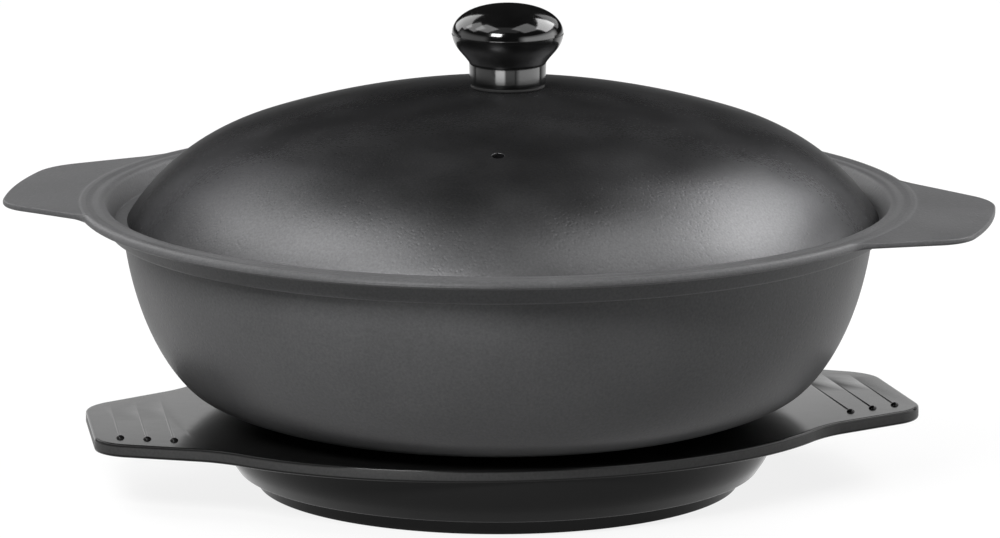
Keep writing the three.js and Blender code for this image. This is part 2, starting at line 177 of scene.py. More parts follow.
class LidSizes(bpy.types.PropertyGroup):
    """Sizes of the domed lid."""

    wall: size_of("Wall", "Thickness of the dome", 3)
    edge: size_of("Edge height", "Height of the lid's lower edge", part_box("lid_shell")[0].z / MM)
    rise: size_of("Rise", "From the lower edge to the crown", 44.4)
    crown: size_of("Crown radius", "Radius of the crown's arc", 272.5)
    shoulder: size_of("Shoulder radius", "Radius of the shoulder's arc", 69.8)
    tangent: size_of("Tangent radius", "Where the crown meets the shoulder", 88.4)
    seat: size_of("Seat radius", "Radius of the flat that the knob stands on", 13.85)
    shift: size_of("Shift", "How far the loose lid sits towards the right", 1.65)
    vent: size_of("Vent radius", "Radius of the steam vent", 2)
    vent_place: size_of("Vent place", "From the lid's middle to the vent", 72.5)
    vent_turn: angle_of("Vent turn", "Where the vent is on the lid", -91.3)
    hole: size_of("Screw hole radius", "Radius of the hole for the knob's screw", 3)


class KnobSizes(bpy.types.PropertyGroup):
    """Sizes of the knob and of what fastens it."""

    shift: size_of("Shift", "How far the knob stands off the lid's middle", 1.55)
    radius: size_of("Radius", "Radius of the knob at its seam", 18.6)
    seam: size_of("Seam height", "Height of the moulding seam above the knob's base", 16.9)
    base: size_of("Base radius", "Radius of the neck at the lid", 12.7)
    neck: size_of("Neck radius", "Radius of the neck where the head flares out", 13.1)
    neck_height: size_of("Neck height", "Height of that place above the knob's base", 7.6)
    gasket: size_of("Gasket radius", "Radius of the gasket under the neck", 12.3)
    bore: size_of("Bore radius", "Radius of the bore for the insert", 4.35)
    bore_depth: size_of("Bore depth", "Depth of the bore", 14.2)


class Finishes(bpy.types.PropertyGroup):
    """Colours of the surfaces."""

    pot: colour_of("Pot", "Seasoned cast iron of the pot", 0x5A5A5B)
    lid: colour_of("Lid", "Seasoned cast iron of the lid", 0x5E5E5F)
    lacquer: colour_of("Lacquer", "Black lacquer of the under-tray", 0x141414)
    # Painted reflection: this lighter grey on the plate's edge face stands in for the bright floor that
    # the edge mirrors.
    edge: colour_of("Tray edge", "Painted reflection on the edge of the under-tray's plate", 0x3A3A3A)
    phenolic: colour_of("Knob", "Black phenolic of the knob", 0x0A0A0A)
    rubber: colour_of("Gasket", "Black silicone of the gasket", 0x141414)
    steel: colour_of("Steel", "Stainless steel of the screw and washers", 0xB4B5B6)
    brass: colour_of("Brass", "Brass of the threaded insert", 0xB8995A)
    paper: colour_of("Floor", "Paper of the studio floor, before its glow", 0x707070)


class Studio(bpy.types.PropertyGroup):
    """Levels of the studio's light. Those of lamps and cards go by the names in SOFTBOXES and
    LOW_CARDS."""

    right: level_of("Right", "Brightness of the large softbox on the right", 6.0)
    right_front: level_of("Right front", "Brightness of the softbox right of the front", 1.9)
    left_back: level_of("Left back", "Brightness of the low softbox behind the left", 2.5)
    left: level_of("Left", "Brightness of the softbox on the left", 2.25)
    left_front: level_of("Left front", "Brightness of the softbox left of the front", 2.6)
    front: level_of("Front", "Brightness of the softbox over the front", 0.3)
    right_back: level_of("Right back", "Brightness of the softbox behind the right", 1.0)
    key: level_of("Key", "Brightness of the small lamp in front", 28.0)
    fill: level_of("Fill", "Light from all round", 0.03)
    sky: level_of("Sky", "What glosses see above the horizon", 0.01)
    card_back: level_of("Card behind", "White of the low card behind the pot", 1.12)
    card_left: level_of("Card left", "White of the low card on the left", 0.95)
    card_right: level_of("Card right", "White of the low card on the right", 3.0)
    card_window: level_of("Card at window", "White of the low card below the window", 9.0)
    lift: level_of("Floor lift", "Glow added to the floor", 0.85)


# Outlines and sections

def arc(centre, radius, start, end, steps):
    """Points along an arc about a centre, with its angles counted from the first axis."""
    turns = [start + (end - start) * i / steps for i in range(steps + 1)]
    return [Vector((centre[0] + radius * math.cos(t), centre[1] + radius * math.sin(t))) for t in turns]


def bezier(a, b, c, d, steps):
    """Points along a cubic curve from a to d."""
    a, b, c, d = (Vector(p) for p in (a, b, c, d))
    points = []
    for i in range(steps + 1):
        t = i / steps
        s = 1 - t
        points.append(a * s ** 3 + b * (3 * s * s * t) + c * (3 * s * t * t) + d * t ** 3)
    return points


def rounded(corners, steps=BEND_STEPS):
    """A path through corners (x, y, radius), each corner turned into an arc of its radius."""
    points = []
    for i, (x, y, radius) in enumerate(corners):
        here = Vector((x, y))
        if radius == 0 or i in (0, len(corners) - 1):
            points.append(here)
            continue
        to_last = (Vector(corners[i - 1][:2]) - here).normalized()
        to_next = (Vector(corners[i + 1][:2]) - here).normalized()
        half = to_last.angle(to_next) / 2
        reach = radius / math.tan(half)
        centre = here + (to_last + to_next).normalized() * (radius / math.sin(half))
        start = here + to_last * reach - centre
        sweep = start.angle_signed(here + to_next * reach - centre)
        points += [centre + Matrix.Rotation(-sweep * k / steps, 2) @ start for k in range(steps + 1)]
    return points


def smooth_path(knots, steps):
    """A smooth curve through every knot."""
    knots = [Vector(k) for k in knots]
    points = [knots[0]]
    for i in range(len(knots) - 1):
        before = knots[max(i - 1, 0)]
        after = knots[min(i + 2, len(knots) - 1)]
        start, end = knots[i], knots[i + 1]
        points += bezier(start, start + (end - before) / 6, end - (after - start) / 6, end, steps)[1:]
    return points


# Meshes

def skin(name, columns):
    """A closed mesh from columns of points round the upright axis. Each column runs the same way."""
    work = bmesh.new()
    rows = [[work.verts.new(p) for p in column] for column in columns]
    for here, there in zip(rows, rows[1:] + rows[:1]):
        for i in range(len(here) - 1):
            work.faces.new((here[i], there[i], there[i + 1], here[i + 1]))
    bmesh.ops.remove_doubles(work, verts=work.verts, dist=1e-7)
    bmesh.ops.dissolve_degenerate(work, edges=work.edges, dist=1e-8)
    return mesh_of(name, work)


def mesh_of(name, work):
    """Turns a bmesh into a mesh with outward faces, smooth but for its creases."""
    bmesh.ops.recalc_face_normals(work, faces=work.faces)
    mesh = bpy.data.meshes.new(name)
    work.to_mesh(mesh)
    work.free()
    return crease(mesh)


def crease(mesh):
    """Shades a mesh smooth, with its sharp edges kept."""
    mesh.polygons.foreach_set("use_smooth", [True] * len(mesh.polygons))
    mesh.set_sharp_from_angle(angle=CREASE_ANGLE)
    mesh.update()
    return mesh


def polar(radius, turn, z):
    """A point at a radius, turned about the upright axis, at a height."""
    return (radius * math.cos(turn), radius * math.sin(turn), z)


def revolve(name, section, steps):
    """Turns a section of radius and height about the upright axis."""
    turns = [2 * math.pi * i / steps for i in range(steps)]
    return skin(name, [[polar(p[0], turn, p[1]) for p in section] for turn in turns])


def tube(name, loops):
    """A closed mesh from loops of points, each joined to the next, with both ends filled."""
    work = bmesh.new()
    rows = [[work.verts.new(p) for p in loop] for loop in loops]
    for here, there in zip(rows, rows[1:]):
        for i, corner in enumerate(here):
            j = (i + 1) % len(here)
            work.faces.new((corner, here[j], there[j], there[i]))
    work.faces.new(rows[0][::-1])
    work.faces.new(rows[-1])
    return mesh_of(name, work)


def linked(name, data):
    """A new object with its data, linked to the scene."""
    obj = bpy.data.objects.new(name, data)
    bpy.context.scene.collection.objects.link(obj)
    return obj


def cut(mesh, cutters, operation="DIFFERENCE"):
    """Takes the cutters out of a mesh, or adds them to it."""
    target = linked(mesh.name, mesh)
    helpers = [linked(cutter.name, cutter) for cutter in cutters]
    for helper in helpers:
        modifier = target.modifiers.new(helper.name, "BOOLEAN")
        modifier.object = helper
        modifier.operation = operation
        modifier.solver = "EXACT"
    result = baked(target)
    for helper in helpers:
        bpy.data.objects.remove(helper)
    return crease(result)


def baked(holder):
    """The plain mesh that an object's modifiers make. The object itself goes."""
    depsgraph = bpy.context.evaluated_depsgraph_get()
    result = bpy.data.meshes.new_from_object(holder.evaluated_get(depsgraph))
    name = holder.name
    bpy.data.objects.remove(holder)
    result.name = name
    return result


def place(mesh, piece, node, body, material):
    """Makes a finished piece of a mesh, in place of its CAD node."""
    mesh.materials.clear()
    mesh.materials.append(material)
    obj = linked(piece, mesh)
    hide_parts(node)
    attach(obj, body)


# Materials

def fill(tree, node, inputs):
    """Fills a node's inputs with values or sockets, or with a list of sockets."""
    for key, value in inputs.items():
        for source in value if isinstance(value, list) else [value]:
            if isinstance(source, bpy.types.NodeSocket):
                tree.links.new(source, node.inputs[key])
            else:
                node.inputs[key].default_value = source


def add(tree, kind, inputs=None, output=0, **settings):
    """Adds a node with its own settings, fills its inputs and gives one of its outputs."""
    node = tree.nodes.new(kind)
    for key, value in settings.items():
        setattr(node, key, value)
    fill(tree, node, inputs or {})
    return node.outputs[output] if node.outputs else None


def new_tree(owner):
    """The empty node tree of a new material or world."""
    owner.use_nodes = True
    owner.node_tree.nodes.clear()
    return owner.node_tree


def new_material(name):
    """A material with its tree, its surface shader and the object's own coordinates."""
    material = bpy.data.materials.new(name)
    tree = new_tree(material)
    shader = tree.nodes.new("ShaderNodeBsdfPrincipled")
    add(tree, "ShaderNodeOutputMaterial", {"Surface": shader.outputs["BSDF"]})
    return material, tree, shader, add(tree, "ShaderNodeTexCoord", output="Object")


def rgba(colour, level=1.0):
    """A colour with its alpha, made lighter or darker by a level."""
    return (*(min(c * level, 1.0) for c in colour[:3]), 1.0)


def grain(tree, coordinates, millimetres, detail=2.0, roughness=0.5):
    """Noise whose blotches are about so many millimetres across."""
    return add(tree, "ShaderNodeTexNoise", {
        "Vector": coordinates, "Scale": 1 / (millimetres * MM), "Detail": detail,
        "Roughness": roughness})


def spread(tree, value, low, high, start=0.3, end=0.7):
    """A value stretched over a range, from the middle reach of a noise if no other is given."""
    return add(tree, "ShaderNodeMapRange", {
        "Value": value, "From Min": start, "From Max": end, "To Min": low, "To Max": high})


def mottled(tree, noise, colour, dark, light):
    """A colour that a noise takes from one level to another."""
    share = spread(tree, noise, 0.0, 1.0)
    return add(
        tree, "ShaderNodeMix", {0: share, 6: rgba(colour, dark), 7: rgba(colour, light)}, 2,
        data_type="RGBA")


def surface(tree, shader, relief, depth, inputs):
    """Gives the shader a relief, so many millimetres deep, and its other inputs."""
    bump = add(tree, "ShaderNodeBump", {"Height": relief, "Strength": 1.0, "Distance": depth * MM})
    fill(tree, shader, {"Normal": bump, **inputs})


def cast_iron(name, colour, metallic, roughness, grit, depth, edge_tint):
    """Sand-cast iron, fettled and oil-seasoned: a dark skin with a dull sheen. It has the fine grit
    of the mould's sand, drawn a little coarser so that it shows, and faint cloudy patches where the
    oil burnt in unevenly. The thicker the oil lies, the less metallic it looks. Grit and depth are
    in millimetres, and an edge tint below 1 dims the sheen at a grazing look."""
    material, tree, shader, coordinates = new_material(name)
    clouds = grain(tree, coordinates, 26, detail=3.0)
    sand = grain(tree, coordinates, grit, detail=3.0, roughness=0.6)
    pit_spacing = 2.2 * grit * MM
    pits = add(tree, "ShaderNodeTexVoronoi", {
        "Vector": coordinates, "Scale": 1 / pit_spacing, "Randomness": 1.0})
    speckled = add(
        tree, "ShaderNodeVectorMath",
        {"Vector": mottled(tree, clouds, colour, 0.94, 1.06), "Scale": spread(tree, sand, 0.86, 1.1)},
        operation="SCALE")
    pitting = spread(tree, pits, -1.0, 0.0, start=0.0, end=0.35)
    relief = add(tree, "ShaderNodeMath", {0: sand, 1: pitting}, operation="ADD")
    surface(tree, shader, relief, depth, {
        "Base Color": speckled, "Roughness": spread(tree, clouds, roughness - 0.03, roughness + 0.04),
        "Metallic": metallic, "Specular Tint": rgba([edge_tint] * 3), "Specular IOR Level": 0.35})
    return material


def black_lacquer(name, colour, edge, edge_low, edge_high):
    """Turned wood under several coats of black satin lacquer: a near-black with a soft, even gloss.
    The coats leave a faint ripple and lie thin over the wood's pores. The plate's edge face is painted
    a lighter, matt grey band, a painted reflection of the bright floor in front of it."""
    material, tree, shader, coordinates = new_material(name)
    ripple = grain(tree, coordinates, 5, detail=1.0)
    along_wood = add(tree, "ShaderNodeMapping", {"Vector": coordinates, "Scale": (0.12, 1.0, 1.0)})
    pores = grain(tree, along_wood, 1.1)
    dust = grain(tree, coordinates, 34, detail=4.0)
    fuzz = grain(tree, coordinates, 0.9, detail=3.0)
    relief = add(tree, "ShaderNodeMath", {0: pores, 1: 0.25, 2: ripple}, operation="MULTIPLY_ADD")

    into, past = 0.3 * MM, 0.1 * MM
    height = add(tree, "ShaderNodeSeparateXYZ", {"Vector": coordinates}, "Z")
    # Painted reflection: the edge face between its roundings takes the lighter edge grey and a duller
    # gloss, in place of the bright floor it mirrors.
    above = spread(tree, height, 0.0, 1.0, edge_low - past, edge_low + into)
    below = spread(tree, height, 1.0, 0.0, edge_high - into, edge_high + past)
    edge_reflection_mask = add(tree, "ShaderNodeMath", {0: above, 1: below}, operation="MULTIPLY")
    tones = mottled(tree, dust, colour, 1.0, 1.35), mottled(tree, fuzz, edge, 0.85, 1.15)
    tone = add(tree, "ShaderNodeMix", {0: edge_reflection_mask, 6: tones[0], 7: tones[1]}, 2, data_type="RGBA")
    gloss = spread(tree, dust, 0.13, 0.17)
    dulled = add(tree, "ShaderNodeMath", {0: edge_reflection_mask, 1: 0.3, 2: gloss}, operation="MULTIPLY_ADD")
    surface(tree, shader, relief, 0.012, {"Base Color": tone, "Roughness": dulled, "IOR": 1.25})
    return material


def polished_phenolic(name, colour):
    """Compression-moulded phenolic, buffed: deep black with a hard gloss. Handling leaves faint
    smears in the gloss."""
    material, tree, shader, coordinates = new_material(name)
    smear = grain(tree, coordinates, 9, detail=3.0)
    flow = grain(tree, coordinates, 3.5, detail=1.0)
    surface(tree, shader, flow, 0.006, {
        "Base Color": mottled(tree, smear, colour, 1.0, 1.5),
        "Roughness": spread(tree, smear, 0.09, 0.14), "IOR": 1.6})
    return material


def silicone_rubber(name, colour):
    """Die-cut silicone sheet: matt black with a fine powdery grain."""
    material, tree, shader, coordinates = new_material(name)
    powder = grain(tree, coordinates, 0.5)
    surface(tree, shader, powder, 0.02, {
        "Base Color": mottled(tree, powder, colour, 0.8, 1.3), "Roughness": 0.7})
    return material


def turned_metal(name, colour, roughness, ring):
    """Lathe-turned metal: a bright metal with fine rings about the upright axis, left by the tool."""
    material, tree, shader, coordinates = new_material(name)
    rings = add(
        tree, "ShaderNodeTexWave",
        {"Vector": coordinates, "Scale": 1 / (ring * MM), "Distortion": 1.5, "Detail": 2.0}, "Fac",
        wave_type="RINGS", rings_direction="Z", wave_profile="SIN")
    stain = grain(tree, coordinates, 4, detail=3.0)
    surface(tree, shader, rings, 0.01, {
        "Base Color": mottled(tree, stain, colour, 0.85, 1.0), "Metallic": 1.0,
        "Roughness": spread(tree, stain, roughness - 0.05, roughness + 0.08)})
    return material


# Under-tray

def wing_side(tray, side, end):
    """One side of a wing in plan, from the oval body out to its tip. Side is 1 for the +X wing and
    end is 1 for its back side. The tip leans, so that the front side is the longer one."""
    slope = math.tan(tray.side_angle)
    lean = math.tan(tray.sweep)
    tip_x = tray.reach - end * tray.tip_half * lean
    root_y = tray.half_width * math.sqrt(1 - (tray.root_x / tray.half_length) ** 2)
    kink = Vector((tray.root_x + tray.root_length, 0))
    kink.y = tray.tip_half + (tray.reach - kink.x) * slope
    pull = kink + Vector((-tray.root_length / 2, tray.root_length * slope / 2))
    root = Vector((tray.root_x, root_y))
    corner = Vector((tip_x, tray.tip_half))
    before = corner + Vector((-tray.corner, tray.corner * slope))
    after = corner + Vector((end * tray.corner * lean, -tray.corner))
    points = bezier(root, root.lerp(pull, 2 / 3), kink.lerp(pull, 2 / 3), kink, CURVE_STEPS)
    pull_share = 0.6
    points += bezier(
        before, before.lerp(corner, pull_share), after.lerp(corner, pull_share), after, CURVE_STEPS)
    return [Vector((side * p.x, end * p.y)) for p in points]


def tray_outline(tray):
    """The plate in plan: the oval body between its two wings."""
    turn = math.acos(tray.root_x / tray.half_length)

    def body(start, end):
        """An arc of the oval body, without its ends."""
        points = arc((0, 0), 1, start, end, 4 * CURVE_STEPS)[1:-1]
        return [Vector((p.x * tray.half_length, p.y * tray.half_width)) for p in points]

    return (
        wing_side(tray, 1, 1)[::-1] + body(turn, math.pi - turn) + wing_side(tray, -1, 1)
        + wing_side(tray, -1, -1)[::-1] + body(math.pi + turn, 2 * math.pi - turn)
        + wing_side(tray, 1, -1))


def inset(outline, distance):
    """The outline moved inwards by a distance."""
    moved = []
    for i, here in enumerate(outline):
        along = (outline[(i + 1) % len(outline)] - outline[i - 1]).normalized()
        moved.append(here + Vector((-along.y, along.x)) * distance)
    return moved


def plate_mesh(tray):
    """The plate with rounded edges. A narrow flat band inside each rounding keeps the faces even."""
    outline = tray_outline(tray)
    bottom = tray.top - tray.thick
    band = tray.edge * 1.5
    rounding = [
        (tray.edge * (1 - math.sin(t)), tray.edge * (1 - math.cos(t)))
        for t in (math.pi / 2 * k / BEND_STEPS for k in range(BEND_STEPS + 1))]
    rings = [(band, bottom)] + [(inward, bottom + up) for inward, up in rounding]
    rings += [(inward, tray.top - up) for inward, up in reversed(rounding)] + [(band, tray.top)]
    return tube("plate", [[(p.x, p.y, z) for p in inset(outline, inward)] for inward, z in rings])


def drum_mesh(tray):
    """The drum under the plate, its step and its foot ring."""
    top = tray.top - tray.thick
    overlap = tray.thick / 2
    inner = tray.foot - tray.foot_width
    soft = tray.edge / 2
    chamfer = Vector((tray.drum_bottom + 2.2 * MM, tray.foot_height + 3.2 * MM))
    bulge = Vector((tray.drum_bottom + 4.6 * MM, tray.foot_height + 6.7 * MM))
    shoulder = Vector((tray.drum_top - 0.8 * MM, top - 5 * MM))
    section = [Vector((0, tray.foot_recess)), Vector((inner / 2, tray.foot_recess))]
    section += rounded([
        (inner / 2, tray.foot_recess, 0), (inner, tray.foot_recess, soft), (inner, 0, soft),
        (tray.foot, 0, soft), (tray.foot, tray.foot_height, soft),
        (tray.drum_bottom, tray.foot_height, soft * 2), (*chamfer, 0)])[1:]
    section += bezier(chamfer, bulge, shoulder, (tray.drum_top, top), CURVE_STEPS)[1:]
    section += [Vector((tray.drum_top, top + overlap)), Vector((0, top + overlap))]
    return revolve("drum", section, ROUND_STEPS)


def groove_sizes(tray, grooves):
    """The inputs of the groove tree, by name. The cutter is a round bar, as wide as the groove at
    the plate's top and as deep below it at the front. It rises by the groove's depth over its
    length, so that the groove runs out at the back."""
    depth = grooves.depth
    cutter = ((grooves.width / 2) ** 2 + depth ** 2) / (2 * depth)
    return {
        "Count": grooves.count, "Top": tray.top, "First": grooves.first, "Step": -grooves.pitch,
        "Front": grooves.front, "Back": grooves.back, "Middle": (grooves.back - grooves.front) / 2,
        "Growth": grooves.growth, "Lean": grooves.lean, "Cutter": cutter, "Lift": cutter - depth / 2,
        "Tilt": math.pi / 2 + depth / BAR_LENGTH, "Bead": grooves.bead, "Flatness": grooves.flatness}


def groove_tree(names, material):
    """Geometry nodes that cut the grooves into both wings and set a bead at each front end. A point
    stands for a groove, and they are numbered from the outermost groove inwards."""
    tree = bpy.data.node_groups.new("Wing grooves", "GeometryNodeTree")
    for name in ("Tray", *names):
        kind = {"Tray": "NodeSocketGeometry", "Count": "NodeSocketInt"}.get(name, "NodeSocketFloat")
        tree.interface.new_socket(name, in_out="INPUT", socket_type=kind)
    tree.interface.new_socket("Tray", in_out="OUTPUT", socket_type="NodeSocketGeometry")
    given = tree.nodes.new("NodeGroupInput").outputs
    row = add(tree, "GeometryNodeInputIndex")
    x, front, back = (
        add(tree, "ShaderNodeMath", {0: row, 1: given[step], 2: given[start]}, operation="MULTIPLY_ADD")
        for start, step in (("First", "Step"), ("Front", "Growth"), ("Back", "Growth")))

    def on_wings(shape, shift, stretch):
        """A shape on every groove of both wings, moved along the groove, stretched and made real."""
        wings = []
        for side in (1.0, -1.0):
            side_x, lean = (
                add(tree, "ShaderNodeMath", {0: value, 1: side}, operation="MULTIPLY")
                for value in (x, given["Lean"]))
            foot = add(tree, "ShaderNodeCombineXYZ", {"X": side_x, "Z": given["Top"]})
            points = add(tree, "GeometryNodePoints", {"Count": given["Count"], "Position": foot})
            turn = add(tree, "ShaderNodeCombineXYZ", {"Z": lean})
            shapes = add(tree, "GeometryNodeInstanceOnPoints", {
                "Points": points, "Instance": shape, "Rotation": turn})
            moved = add(tree, "GeometryNodeTranslateInstances", {
                "Instances": shapes, "Translation": shift})
            wings.append(add(tree, "GeometryNodeScaleInstances", {
                "Instances": moved, "Scale": stretch}))
        both = add(tree, "GeometryNodeJoinGeometry", {"Geometry": wings})
        return add(tree, "GeometryNodeRealizeInstances", {"Geometry": both})

    bar = add(tree, "GeometryNodeMeshCylinder", {
        "Vertices": SMALL_STEPS // 2, "Radius": given["Cutter"], "Depth": BAR_LENGTH})
    tilt = add(tree, "ShaderNodeCombineXYZ", {"X": given["Tilt"]})
    span = add(tree, "ShaderNodeMath", {0: front, 1: back}, operation="ADD")
    cutters = on_wings(
        add(tree, "GeometryNodeTransform", {"Geometry": bar, "Rotation": tilt}),
        add(tree, "ShaderNodeCombineXYZ", {"Y": given["Middle"], "Z": given["Lift"]}),
        add(tree, "ShaderNodeCombineXYZ", {"X": 1.0, "Y": span, "Z": 1.0}))

    bead = add(tree, "GeometryNodeMeshUVSphere", {
        "Segments": SMALL_STEPS // 2, "Rings": SMALL_STEPS // 4, "Radius": given["Bead"]})
    forward = add(tree, "ShaderNodeMath", {0: front, 1: -1.0}, operation="MULTIPLY")
    beads = on_wings(
        bead, add(tree, "ShaderNodeCombineXYZ", {"Y": forward}),
        add(tree, "ShaderNodeCombineXYZ", {"X": 1.0, "Y": 1.0, "Z": given["Flatness"]}))

    grooved = add(
        tree, "GeometryNodeMeshBoolean", {"Mesh 1": given["Tray"], "Mesh 2": cutters},
        operation="DIFFERENCE", solver="EXACT")
    beaded = add(
        tree, "GeometryNodeMeshBoolean", {"Mesh 2": [grooved, beads]},
        operation="UNION", solver="EXACT")
    real = add(tree, "GeometryNodeRealizeInstances", {"Geometry": beaded})
    painted = add(tree, "GeometryNodeSetMaterial", {"Geometry": real, "Material": material})
    add(tree, "NodeGroupOutput", {"Tray": painted})
    return tree


def grooved(mesh, tray, grooves, material):
    """The tray with its grooves and beads."""
    holder = linked("grooved_tray", mesh)
    modifier = holder.modifiers.new("Wing grooves", "NODES")
    values = groove_sizes(tray, grooves)
    modifier.node_group = groove_tree(values, material)
    for item in modifier.node_group.interface.items_tree:
        if item.in_out == "INPUT" and item.name in values:
            modifier[item.identifier] = values[item.name]
    return crease(baked(holder))


class POT_OT_tray(bpy.types.Operator):
    """Builds the black under-tray with its grooved wings"""

    bl_idname = "pot.tray"
    bl_label = "Under-tray"

    def execute(self, context):
        scene = context.scene
        tray = scene.pot_tray
        # The lacquer paints a lighter grey on the plate's edge face, a painted reflection of the floor.
        material = black_lacquer(
            "Black satin lacquer on wood", scene.pot_finishes.lacquer, scene.pot_finishes.edge,
            tray.top - tray.thick + tray.edge, tray.top - tray.edge)
        whole = cut(plate_mesh(tray), [drum_mesh(tray)], "UNION")
        whole = grooved(whole, tray, scene.pot_grooves, material)
        whole.transform(Matrix.Rotation(tray.turn, 4, "Z"))
        place(whole, "under_tray", "trivet_tray", "trivet", material)
        return {"FINISHED"}


def to_the_right(distance):
    """A move towards the right of the photograph."""
    return Vector((math.cos(CAMERA_AZIMUTH), math.sin(CAMERA_AZIMUTH), 0)) * distance


# Pot

def handle_reach(pot, turn):
    """How far the pot's edge reaches at an angle from the handle's middle line, and that angle's
    share of the way from plain rim, 0, to handle, 1."""
    side = Vector((math.sin(pot.side_angle), math.cos(pot.side_angle)))
    along = Vector((-math.cos(pot.side_angle), math.sin(pot.side_angle)))
    tip = Vector((math.sqrt(pot.reach ** 2 - pot.tip_half ** 2), pot.tip_half))
    offset = side.dot(tip)

    def centre(distance, reach):
        return side * distance - along * math.sqrt(reach ** 2 - distance ** 2)

    corner = centre(offset - pot.corner, pot.reach - pot.corner)
    root = centre(offset + pot.root, pot.radius + pot.root)
    way = Vector((math.cos(turn), math.sin(turn)))

    def crossing(middle, radius, sign):
        near = way.dot(middle)
        return near + sign * math.sqrt(max(near ** 2 - middle.length_squared + radius ** 2, 0))

    def angle(point):
        return math.atan2(point.y, point.x)

    if turn <= angle(corner):
        return pot.reach
    if turn <= angle(corner + side * pot.corner):
        return crossing(corner, pot.corner, 1)
    if turn <= angle(root - side * pot.root):
        return offset / way.dot(side)
    if turn < angle(root):
        return crossing(root, pot.root, -1)
    return pot.radius


def direction(angle, length):
    """A step in a section at a slope."""
    return Vector((math.cos(angle), math.sin(angle))) * length


def bowl_curve(pot, base, heel, top):
    """The bowl's curve in section from the flat base over the heel up to the rim."""
    leave_base = direction(math.radians(1.8), 8.2 * MM)
    reach_heel = direction(pot.heel_angle, 8.1 * MM)
    leave_heel = direction(pot.heel_angle, 6.8 * MM)
    reach_rim = direction(pot.wall_angle, 32.5 * MM)
    points = bezier(base, base + leave_base, heel - reach_heel, heel, CURVE_STEPS)
    return points + bezier(heel, heel + leave_heel, top - reach_rim, top, 2 * CURVE_STEPS)[1:]


def wall_section(pot):
    """The bowl's outside from the middle of the base up to the undercut below the rim."""
    base = Vector((pot.base_radius, pot.base))
    heel = Vector((pot.heel_radius, pot.base + pot.heel_height))
    top = Vector((pot.wall_radius, pot.rim - pot.band))
    middle = [Vector((0, pot.base)), Vector((pot.base_radius / 2, pot.base))]
    return middle + bowl_curve(pot, base, heel, top)


# Places on the rim's section, in millimetres: radius, depth below the rim's top, and the rounding
# of a corner
RIM_BAND = ((125.15, 9.3, 0.4), (129.7, 9.7, 1.2), (131.7, 4.2, 1.2))
RIM_SHELF = (134.5, 3.3)
RIM_TOP = (
    (137.3, 0.02), (136.4, 0.2), (135.3, 0.4), (134.1, 0.22), (132.9, 0.0), (131.9, 0.04),
    (131.0, 0.45), (130.3, 1.3))
LID_SEAT = (127.5, 7.1, 0.8)

# Rounding of the seat's inner edge
SEAT_ROUND = 0.5 * MM

# The flange's thickness, the reach past the rim over which it turns into a handle, and the way out
# from the band over which its underside takes up that thickness
FLANGE_THICK = 2.9 * MM
HANDLE_BLEND = 3 * MM
SHELF_BLEND = 4 * MM


def rim_section(pot, reach):
    """The rim's section at one angle: undercut, band, flange or handle, ridge, groove and lip."""
    rim = pot.rim
    share = min(max((reach - pot.radius) / HANDLE_BLEND, 0), 1)
    share = share * share * (3 - 2 * share)

    def between(plain, handle):
        """A size in millimetres that differs between the plain rim and a handle."""
        return (plain * (1 - share) + handle * share) * MM

    def top_at(radius):
        """Height of the flange's or handle's top at a radius."""
        past = max(radius - pot.radius, 0)
        return rim - (pot.drop + past * math.tan(pot.droop)) * share

    def at(radius, depth, *rounding):
        """A place on the section, followed by the rounding of its corner if it is given one."""
        return (radius * MM, rim - depth * MM, *(length * MM for length in rounding))

    wall_top = rim - pot.band
    inner = pot.wall_radius - pot.wall
    thick = FLANGE_THICK * (1 - share) + pot.handle_thick * share
    low_round, high_round, flat_end = between(1.2, 0.7), between(2.2, 0.7), between(2.25, 0.9)
    shelf = Vector(at(*RIM_SHELF))
    shelf_end = reach - low_round
    points = rounded([
        (pot.wall_radius, wall_top, 0), *(at(*corner) for corner in RIM_BAND), (*shelf, 0)])
    for i in range(1, CURVE_STEPS):
        radius = shelf.x + (shelf_end - shelf.x) * i / CURVE_STEPS
        blend = min((radius - shelf.x) / SHELF_BLEND, 1)
        points.append(Vector((radius, shelf.y + (top_at(radius) - thick - shelf.y) * blend)))

    edge_low, edge_high = top_at(reach) - thick, top_at(reach)
    points += rounded([
        (*points[-1], 0), (reach, edge_low, low_round), (reach, edge_high, high_round),
        (reach - flat_end, edge_high, 0)])[1:]
    start = points[-1].x
    ridge_foot = Vector((between(137.7, 139.6), top_at(pot.radius)))
    for i in range(1, CURVE_STEPS):
        radius = start + (ridge_foot.x - start) * i / CURVE_STEPS
        points.append(Vector((radius, top_at(radius))))
    ridge = (between(137.6, 138.7), rim - between(0.0, 0.16))
    points += smooth_path([ridge_foot, ridge, *(at(*knot) for knot in RIM_TOP)], BEND_STEPS)
    points += rounded([
        at(*RIM_TOP[-1], 0), at(*LID_SEAT), (inner, rim - LID_SEAT[1] * MM, SEAT_ROUND),
        (inner, wall_top, 0)])[1:]
    return points


def inside_section(pot):
    """The bowl's inside from below the lid's seat to the middle of the floor."""
    floor = pot.base + pot.floor
    heel = Vector((pot.heel_radius, pot.base + pot.heel_height))
    heel += direction(pot.heel_angle + math.pi / 2, pot.wall)
    top = Vector((pot.wall_radius - pot.wall, pot.rim - pot.band))
    points = bowl_curve(pot, Vector((pot.base_radius, floor)), heel, top)[::-1]
    return points[1:] + [Vector((pot.base_radius / 2, floor)), Vector((0, floor))]


def column_turns():
    """Angles of the pot's columns, closer together where the handles are."""
    fine, coarse, handle_spread = 0.4, 1.0, 34
    turns = []
    degrees = 0.0
    while degrees < 360:
        turns.append(math.radians(degrees))
        from_handle = min(degrees % 180, 180 - degrees % 180)
        degrees += fine if from_handle < handle_spread else coarse
    return turns


